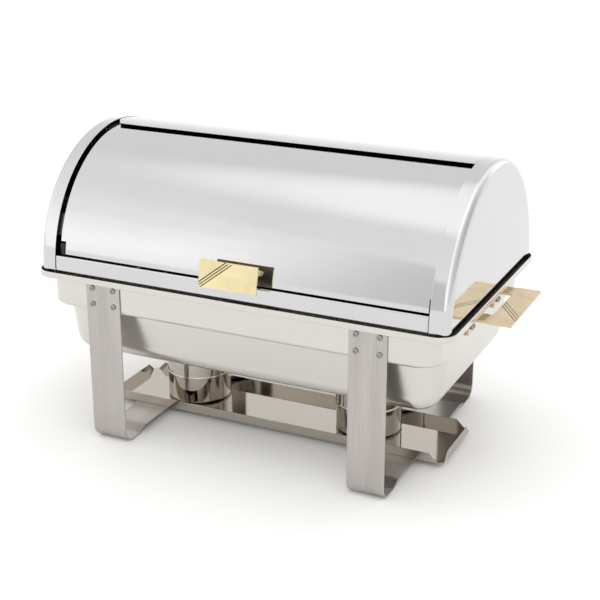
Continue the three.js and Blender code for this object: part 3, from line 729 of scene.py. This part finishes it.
def screw_mesh(name, head_radius, head_height, shank_radius, shank_length):
    """A pan head screw along +Z with a cross recess."""
    dome = [
        (head_radius * math.cos(t), head_height * (0.3 + 0.7 * math.sin(t)))
        for t in (i / 8 * math.pi / 2 for i in range(8))
    ]
    profile = [
        (0, -shank_length),
        (shank_radius * 0.8, -shank_length),
        (shank_radius, -shank_length + 0.4 * MM),
        (shank_radius, 0),
        (head_radius - 0.15 * MM, 0),
        *dome,
        (0, head_height),
    ]
    screw = lathe(name, profile, 32)
    arm, slot = head_radius * 0.62, head_radius * 0.13
    depth = head_height * 0.5
    top = head_height + MM
    recess = [
        slab("cutter", (-arm, -slot, head_height - depth), (arm, slot, top)),
        slab("cutter", (-slot, -arm, head_height - depth), (slot, arm, top)),
    ]
    return finish_edges(carve(screw, *recess), 0.12 * MM, 2)


def place_screws(nodes, direction_of, shape, material=None):
    """One screw for each node: the first is made, and the others share its mesh."""
    master = None
    for number, node in enumerate(nodes):
        low, high = box(node)
        out = direction_of(node)
        centre = (low + high) / 2
        reach = Vector(((high.x - low.x) / 2, (high.y - low.y) / 2, (high.z - low.z) / 2))
        if master is None:
            screw = screw_mesh(f"{node}_head", *shape)
            master = screw
        else:
            screw = bpy.data.objects.new(f"{node}_head", master.data)
            bpy.context.scene.collection.objects.link(screw)
            finish_edges(screw, 0.12 * MM, 2)
        spin = Matrix.Rotation(math.radians(37 * number), 4, "Z")
        turn = out.to_track_quat("Z", "Y").to_matrix().to_4x4()
        extent = sum(abs(out[i]) * reach[i] for i in range(3))
        head_base = centre + out * (extent - shape[1])
        screw.matrix_world = Matrix.Translation(head_base) @ turn @ spin
        settle(screw, node, material=material)


def build_screws():
    leg_nodes = [
        f"leg_screw_{side}_{end}_{n}" for side, _ in SIDES for end, _ in ENDS for n in range(1, 5)
    ]
    place_screws(
        leg_nodes,
        lambda node: Vector((0, -1 if "_front_" in node else 1, 0)),
        (3.9 * MM, 2.1 * MM, 2.1 * MM, 5.8 * MM),
        SHADED_SCREW_STEEL,
    )
    handle_nodes = [f"end_handle_screw_{side}_{end}" for side, _ in SIDES for end, _ in ENDS]
    place_screws(
        handle_nodes,
        lambda node: Vector((-1 if "_left_" in node else 1, 0, 0)),
        (5.2 * MM, 3.9 * MM, 2.3 * MM, 8.8 * MM),
        SHADED_SCREW_STEEL,
    )


# ---------- brass handles ----------


def groove(start, end, width, depth, up):
    """A V-shaped cutter from start to end, its point below the surface."""
    along = (end - start).normalized()
    side = along.cross(up).normalized() * width / 2
    lift = up * 0.4 * MM
    rise = side * (1 + 0.4 * MM / depth)
    vertices = []
    for point in (start - along * MM, end + along * MM):
        vertices += [point - up * depth, point + rise + lift, point - rise + lift]
    faces = [(0, 1, 2), (3, 5, 4), (0, 3, 4, 1), (1, 4, 5, 2), (2, 5, 3, 0)]
    cutter = make_object("cutter", vertices, faces)
    two_brasses(cutter, 1)
    return cutter


def two_brasses(obj, index, bright=None):
    """The casting's brass and a dark brass for its grooves, painted shade in the recesses, with every face
    on one of the two.
    """
    obj.data.materials.append(bright or MATERIALS["brass"])
    obj.data.materials.append(GROOVE_SHADE)
    for polygon in obj.data.polygons:
        polygon.material_index = index


def build_end_handle(side, sign):
    """A cast brass loop: plate, two arms and two flanges down the pan's end wall."""
    low, high = box(f"end_handle_{side}")
    inner, outer = min(abs(low.x), abs(high.x)), max(abs(low.x), abs(high.x))
    plate_inner = outer - 32 * MM
    top, bottom = high.z, high.z - 4 * MM
    half, arm_y, arm_half = high.y, 55 * MM, 12 * MM
    flange_thick = 4.2 * MM
    body = slab("cutter", (plate_inner, -half, bottom), (outer, half, top))
    body.name = f"end_handle_loop_{side}"
    limbs = []
    for _, end in ENDS:
        y = end * arm_y
        y0, y1 = y - arm_half, y + arm_half
        limbs.append(slab("limb", (inner, y0, bottom), (plate_inner + MM, y1, top)))
        limbs.append(slab("limb", (inner, y0, low.z), (inner + flange_thick, y1, bottom + MM)))
    carve(body, *limbs, operation="UNION")
    up = Vector((0, 0, 1))
    grooves = []
    for i in range(3):
        shift = 8 * MM * i
        start = Vector((plate_inner, -6 * MM + shift, top))
        end = Vector((outer, -53 * MM + shift, top))
        grooves.append(groove(start, end, 1.1 * MM, 0.8 * MM, up))
    finish_edges(body, 0.9 * MM, 4)
    apply_modifiers(body)
    two_brasses(body, 0, SHADED_HANDLE_BRASS)
    carve(body, *grooves)
    for polygon in body.data.polygons:
        polygon.use_smooth = True
    modifier(body, "WEIGHTED_NORMAL", keep_sharp=True)
    if sign < 0:
        body.matrix_world = Matrix.Rotation(math.pi, 4, "Z")
    settle(body, f"end_handle_{side}")


def build_lid_handle():
    """The plate leans with the lid and stands on two posts."""
    low, high = box("lid_handle")
    lean = math.radians(10)
    width, height, thick = high.x - low.x, 36 * MM, 3 * MM
    mid_x = (low.x + high.x) / 2
    out = Vector((0, -math.cos(lean), math.sin(lean)))
    up = Vector((0, math.sin(lean), math.cos(lean)))
    # The plate's lowest front corner touches the box's front.
    centre = Vector((mid_x, low.y, 0)) + up * height / 2
    centre.z = high.z - height / 2 * math.cos(lean)
    plate_axes = Matrix(((1, 0, 0), (0, up.y, up.z), (0, out.y, out.z))).transposed()
    to_world = Matrix.Translation(centre) @ plate_axes.to_4x4()
    plate = slab("cutter", (-width / 2, -height / 2, -thick), (width / 2, height / 2, 0))
    plate.name = "lid_handle_plate"
    finish_edges(plate, 0.6 * MM, 4)
    apply_modifiers(plate)
    two_brasses(plate, 0)
    face_up = Vector((0, 0, 1))
    slope = Vector((0.784, 0.62, 0))
    grooves = []
    for i in range(3):
        start = Vector((-width / 2, -height / 2 + 6 * MM, 0)) + Vector((0.62, -0.784, 0)) * (3.3 * MM * i)
        length = (height / 2 - start.y) / slope.y
        if i:
            length *= 0.93
        grooves.append(groove(start, start + slope * length, 1.5 * MM, 0.9 * MM, face_up))
    carve(plate, *grooves)
    posts = []
    post_radius, reach = 4.5 * MM, 26.0 * MM
    for offset in (-25 * MM, 25 * MM):
        profile = [
            (0, -reach),
            (post_radius - 0.3 * MM, -reach),
            (post_radius, -reach + 0.3 * MM),
            (post_radius, -thick / 2),
            (0, -thick / 2),
        ]
        post = lathe("post", profile, 40)
        post.location = (offset, 5 * MM, 0)
        posts.append(post)
    bpy.context.view_layer.update()
    carve(plate, *posts, operation="UNION")
    # The plate's back is left unpolished, and its dark colour is painted shade.
    plate.data.materials.append(PLATE_BACK_SHADE)
    for polygon in plate.data.polygons:
        polygon.use_smooth = True
        if polygon.normal.z < -0.9 and abs(polygon.center.z + thick) < 0.2 * MM:
            polygon.material_index = 2
    modifier(plate, "WEIGHTED_NORMAL", keep_sharp=True)
    plate.matrix_world = to_world
    settle(plate, "lid_handle")
    place_screws(
        ["lid_handle_screw_left", "lid_handle_screw_right"],
        lambda node: -out,
        (3.5 * MM, 1.9 * MM, 1.4 * MM, 5.8 * MM),
    )


# ---------- hood ----------

cap_low, cap_high = box("end_cap_right")
CAP_RADIUS = cap_high.y
RADIUS = box("rear_shell")[1].y
SKIRT_Z = cap_low.z


def arch(radius, x, step=1.5):
    """One row of the end cap: up the front skirt, over the half circle and down the rear skirt."""
    path = [Vector((-radius, SKIRT_Z)), *hood_arc(radius, 0, 180, step), Vector((radius, SKIRT_Z))]
    return [Vector((x, p.x, p.y)) for p in path]


def build_end_cap(side, sign):
    """A drawn cap: a band that follows the hood, a round edge and a flat face."""
    seam, face, fillet = cap_low.x, cap_high.x, 11 * MM
    draft = 1 * MM  # the band narrows by this much towards the end
    narrow = CAP_RADIUS - draft
    rows = [arch(CAP_RADIUS, seam), arch(CAP_RADIUS, seam + 1 * MM), arch(narrow, face - fillet - 0.5 * MM)]
    for i in range(13):
        angle = i / 12 * math.pi / 2
        inset = fillet * (1 - math.cos(angle))
        rows.append(arch(narrow - inset, face - fillet + fillet * math.sin(angle)))
    count = len(rows[0])
    vertices = [p for row in rows for p in row]
    faces = []
    for row in range(len(rows) - 1):
        for i in range(count - 1):
            a = row * count + i
            faces.append((a, a + 1, a + count + 1, a + count))
    last = (len(rows) - 1) * count
    faces.append(tuple(range(last, last + count)))
    vertices = [Vector((sign * v.x, v.y, v.z)) for v in vertices]
    cap = make_object(f"hood_cap_{side}", vertices, faces, away_from=(0, 0, LID_AXIS_Z))
    modifier(cap, "SOLIDIFY", thickness=SHEET, offset=-1, use_even_offset=True)
    apply_modifiers(cap)
    settle(finish_edges(cap, 0.25 * MM), f"end_cap_{side}")


def build_front_rail():
    low, high = box("front_rail")
    top_angle = math.degrees(math.asin((high.z - LID_AXIS_Z) / RADIUS))
    turn = 1.6 * MM
    edge_angle = top_angle - math.degrees(turn / RADIUS)
    corner = hood_point(RADIUS, edge_angle)
    bend = arc_2d((corner.x + turn, high.z - turn), turn, 90, 180, 6)
    path = [Vector((high.y, high.z)), *bend, *hood_arc(RADIUS, edge_angle - 0.6, 0, 1.0)]
    path.append(Vector((-RADIUS, SKIRT_Z)))
    rail = sheet_along_x("hood_front_rail", path, SHEET, low.x, high.x)
    settle(finish_edges(rail, 0.25 * MM), "front_rail")


def build_rear_shell():
    low, high = box("rear_shell")
    front_angle = hood_angle(low.y, LID_AXIS_Z + math.sqrt(RADIUS**2 - low.y**2))
    path = [Vector((RADIUS, SKIRT_Z)), *hood_arc(RADIUS, 180, front_angle)]
    shell = sheet_along_x("hood_rear_shell", path, SHEET, low.x, high.x)
    # The left end is cut back, from the front edge to the top of the arch, to clear the lid.
    corner_cut, front_y = 11 * MM, low.y
    for vertex in shell.data.vertices:
        if vertex.co.x < 0 and vertex.co.y < 0:
            vertex.co.x += corner_cut * vertex.co.y / front_y
    settle(finish_edges(shell, 0.3 * MM, 3), "rear_shell")


def build_roll_lid():
    """The curved sheet with a notch in each lower corner."""
    low, high = box("roll_lid")
    radius = math.hypot(low.y, low.z - LID_AXIS_Z)
    front_angle = hood_angle(low.y, low.z)
    rear_angle = hood_angle(high.y, LID_AXIS_Z + math.sqrt(radius**2 - high.y**2))
    notch_wide, notch_high = 8 * MM, 17 * MM
    notch_angle = hood_angle(
        -math.sqrt(radius**2 - (low.z + notch_high - LID_AXIS_Z) ** 2), low.z + notch_high
    )
    angles = [front_angle + (notch_angle - front_angle) * i / 4 for i in range(5)]
    steps = round((rear_angle - notch_angle) / 1.5)
    angles += [notch_angle + (rear_angle - notch_angle) * i / steps for i in range(1, steps + 1)]
    stations = [low.x, low.x + notch_wide, high.x - notch_wide, high.x]
    vertices = []
    for x in stations:
        for angle in angles:
            p = hood_point(radius, angle)
            vertices.append((x, p.x, p.y))
    count = len(angles)
    faces = []
    for column in range(3):
        for i in range(count - 1):
            if column != 1 and i < 4:
                continue
            a = column * count + i
            faces.append((a, a + 1, a + count + 1, a + count))
    sheet = make_object("lid_sheet", vertices, faces, away_from=(0, 0, LID_AXIS_Z))
    modifier(sheet, "SOLIDIFY", thickness=SHEET, offset=-1, use_even_offset=True)
    apply_modifiers(sheet)
    settle(finish_edges(sheet, 0.25 * MM), "roll_lid")


def build_bracket(side, sign):
    """Two arms from a hub on the lid's axis to curved tabs under the lid."""
    low, high = box(f"lid_bracket_{side}")
    plate_x = high.x if sign > 0 else low.x
    thick = 2.4 * MM
    x0, x1 = sorted((plate_x, plate_x - sign * thick))
    hub, arm_half = 5 * MM, 7 * MM
    reach = 170.5 * MM
    tab = 1.6 * MM
    solids = []
    profile = [(0, x0), (hub, x0), (hub, x1), (0, x1)]
    disc = lathe(f"lid_arm_{side}", profile, 40)
    disc.data.transform(Matrix.Rotation(math.pi / 2, 4, "Y"))
    disc.data.transform(Matrix.Scale(-1, 4, (1, 0, 0)) if x0 * disc.data.vertices[0].co.x < 0 else Matrix())
    for angle in (22, 86):
        turn = math.radians(angle)
        along = Vector((0, -math.cos(turn), math.sin(turn)))
        side_way = Vector((0, math.sin(turn), math.cos(turn)))
        section = [-side_way * hub, along * (reach - 2 * MM) - side_way * arm_half]
        section += [along * (reach - 2 * MM) + side_way * arm_half, side_way * hub]
        vertices = [Vector((x, p.y, p.z)) for x in (x0, x1) for p in section]
        faces = [(0, 1, 2, 3), (7, 6, 5, 4), (0, 4, 5, 1), (1, 5, 6, 2), (2, 6, 7, 3), (3, 7, 4, 0)]
        solids.append(make_object("limb", vertices, faces))
        inward = low.x if sign > 0 else high.x
        t0, t1 = sorted((plate_x - sign * thick / 2, inward))
        arc = [p - Vector((0, LID_AXIS_Z)) for p in hood_arc(reach, angle + 5, angle - 5, 1.25)]
        solids.append(sheet_along_x("limb", arc, tab, t0, t1))
    carve(disc, *solids, operation="UNION")
    bore = lathe("cutter", [(0, -MM), (2.8 * MM, -MM), (2.8 * MM, MM), (0, MM)], 32)
    bore.data.transform(Matrix.Scale(thick / MM * 2, 4, (0, 0, 1)))
    bore.data.transform(Matrix.Rotation(math.pi / 2, 4, "Y"))
    bore.location.x = (x0 + x1) / 2
    bpy.context.view_layer.update()
    carve(disc, bore)
    disc.location.z = LID_AXIS_Z
    settle(finish_edges(disc, 0.25 * MM), f"lid_bracket_{side}")


def build_pivot(side):
    """The welded stud and its lock nut."""
    low, high = box(f"pivot_pin_{side}")
    radius = (high.z - low.z) / 2
    length = high.x - low.x
    thread = []
    pitch = 0.8 * MM
    turns = int(length / pitch / 2)
    for i in range(turns):
        z = length / 2 + pitch * i
        thread += [(radius, z), (radius, z + 0.2 * MM), (radius * 0.86, z + 0.5 * MM)]
    profile = [(0, 0), (radius, 0), *thread, (radius * 0.8, length), (0, length)]
    stud = lathe(f"pivot_stud_{side}", profile, 32)
    inward = 1 if side == "left" else -1
    turn = Vector((inward, 0, 0)).to_track_quat("Z", "Y").to_matrix().to_4x4()
    start = low.x if side == "left" else high.x
    stud.matrix_world = Matrix.Translation((start, 0, LID_AXIS_Z)) @ turn
    settle(finish_edges(stud, 0.08 * MM, 1), f"pivot_pin_{side}")

    low, high = box(f"pivot_nut_{side}")
    across = (high.y - low.y) / 2
    corners = arc_2d((0, 0), across, 0, 300, 5)
    vertices = [(x, p.x, LID_AXIS_Z + p.y) for x in (low.x, high.x) for p in corners]
    faces = bridge(6, 0, 6) + [tuple(range(6)), tuple(range(6, 12))]
    nut = make_object(f"pivot_lock_nut_{side}", vertices, faces)
    bore = lathe("cutter", [(0, -5 * MM), (2.7 * MM, -5 * MM), (2.7 * MM, 5 * MM), (0, 5 * MM)], 32)
    bore.data.transform(Matrix.Rotation(math.pi / 2, 4, "Y"))
    bore.location = ((low.x + high.x) / 2, 0, LID_AXIS_Z)
    bpy.context.view_layer.update()
    carve(nut, bore)
    settle(finish_edges(nut, 0.3 * MM, 3), f"pivot_nut_{side}")


def build_bumper(side):
    low, high = box(f"lid_bumper_{side}")
    pad = slab(f"rubber_bumper_{side}", low, high)
    settle(finish_edges(pad, 1.6 * MM, 5), f"lid_bumper_{side}")


# ---------- stage, lights and camera ----------


def build_stage():
    """A plain pale floor that runs out far past the object."""
    size = 14.0
    corners = [(x, y, 0) for x, y in ((-size, -size), (size, -size), (size, size), (-size, size))]
    floor = make_object("floor", corners, [(0, 1, 2, 3)])
    g = Graph("floor_paper")
    fibre = g.noise(180, detail=2)
    colour = g.blend_colour(fibre, (0.93, 0.93, 0.93), (0.95, 0.95, 0.95))
    floor.data.materials.append(g.finish(colour, g.remap(fibre, 0.85, 0.95), metallic=0.0))


# Brightness of the white tent over the object, by degrees from straight up towards the rear.
TENT = ((-90, 1.2), (-35, 1.12), (0, 1.08), (28, 1.0), (36, 1.0), (52, 0.98), (90, 1.2))
# Brightness of the front left light panel, by its height in degrees.
PANEL = ((0, 1.42), (10, 1.5), (16, 1.47), (23, 1.38), (35, 1.23), (50, 1.13))
PANEL_SIDE = (0.775, 0.119, 0.621)  # the panel is on the far side of a plane facing this way
PANEL_EDGE = 0.84  # brightness where the panel falls off towards the middle
OVERHEAD_GLOW = 0.35
FLOOR_LEVEL = 1.1
RIGHT_PANEL = 0.4  # extra brightness of an upright panel at the right
FAR_RIGHT = -0.26  # the room is a little dimmer straight out to the right


def build_world():
    """Soft studio light all round: a white tent, an overhead glow and a panel at the front left."""
    world = bpy.data.worlds.new("studio")
    bpy.context.scene.world = world
    world.use_nodes = True
    tree = world.node_tree

    def math_node(operation, *values):
        node = tree.nodes.new("ShaderNodeMath")
        node.operation = operation
        for socket, value in zip(node.inputs, values):
            if isinstance(value, bpy.types.NodeSocket):
                tree.links.new(value, socket)
            else:
                socket.default_value = value
        return node.outputs[0]

    def step(value, start, end, low=0.0, high=1.0):
        """A soft step from low to high while the value goes from start to end."""
        node = tree.nodes.new("ShaderNodeMapRange")
        node.interpolation_type = "SMOOTHSTEP"
        tree.links.new(value, node.inputs["Value"])
        settings = {"From Min": start, "From Max": end, "To Min": low, "To Max": high}
        for key, number in settings.items():
            node.inputs[key].default_value = number
        return node.outputs["Result"]

    def curve(angle, stops):
        """The brightness between the stops, by an angle in radians."""
        total = stops[0][1]
        for (a, low), (b, high) in zip(stops, stops[1:]):
            rise = step(angle, math.radians(a), math.radians(b), 0.0, high - low)
            total = math_node("ADD", total, rise)
        return total

    direction = tree.nodes.new("ShaderNodeTexCoord").outputs["Generated"]
    split = tree.nodes.new("ShaderNodeSeparateXYZ")
    tree.links.new(direction, split.inputs[0])
    x, y, z = split.outputs
    tent = curve(math_node("ARCTAN2", y, z), TENT)
    glow = step(z, math.cos(math.radians(34)), math.cos(math.radians(21)), 0.0, OVERHEAD_GLOW)
    tent = math_node("ADD", tent, glow)

    strip = math_node("MULTIPLY", step(x, 0.05, 0.2), step(x, 0.4, 0.6, RIGHT_PANEL, 0.0))
    tent = math_node("ADD", tent, math_node("ADD", strip, step(x, 0.6, 0.85, 0.0, FAR_RIGHT)))

    forward = math_node("MAXIMUM", math_node("MULTIPLY", y, -1.0), 0.001)
    sideways = math_node("DIVIDE", x, forward)
    bright = curve(math_node("ARCSINE", z), PANEL)
    reach = step(sideways, -0.60, -0.306, 1.0, 0.0)
    over = math_node("SUBTRACT", bright, PANEL_EDGE)
    panel = math_node("ADD", PANEL_EDGE, math_node("MULTIPLY", over, reach))
    across = 0.0
    for part, weight in zip((x, y, z), PANEL_SIDE):
        across = math_node("ADD", across, math_node("MULTIPLY", part, weight))
    inside = math_node("MULTIPLY", step(across, -0.025, 0.025, 1.0, 0.0), step(y, -0.02, 0.0, 1.0, 0.0))
    inside = math_node("MULTIPLY", inside, step(z, -0.02, 0.0))

    def blend(first, second, share):
        change = math_node("MULTIPLY", math_node("SUBTRACT", second, first), share)
        return math_node("ADD", first, change)

    level = blend(tent, panel, inside)
    below = step(z, -0.03, -0.005, 1.0, 0.0)
    level = blend(level, FLOOR_LEVEL, below)
    background = tree.nodes["Background"]
    background.inputs["Color"].default_value = (1.0, 1.0, 0.99, 1)
    tree.links.new(level, background.inputs["Strength"])


def build_camera():
    data = bpy.data.cameras.new("camera")
    data.sensor_width = 36
    data.lens = 79.24
    camera = bpy.data.objects.new("camera", data)
    camera.location = (0.7567, -1.5767 + MID_Y, 0.8422)
    camera.rotation_euler = (math.radians(90 - 20.724), 0, math.radians(25.162))
    bpy.context.scene.collection.objects.link(camera)
    bpy.context.scene.camera = camera


build_water_pan()
build_food_pan()
build_rim_frame()
for side, _ in SIDES:
    build_leg_frame(side)
build_shelf()
for side, _ in SIDES:
    build_fuel_holder(side)
build_screws()
for side, sign in SIDES:
    build_end_handle(side, sign)
    build_end_cap(side, sign)
    build_bracket(side, sign)
    build_pivot(side)
    build_bumper(side)
build_front_rail()
build_rear_shell()
build_roll_lid()
build_lid_handle()
build_stage()
build_world()
build_camera()
bpy.context.scene.view_settings.view_transform = "Standard"

bpy.context.view_layer.update()
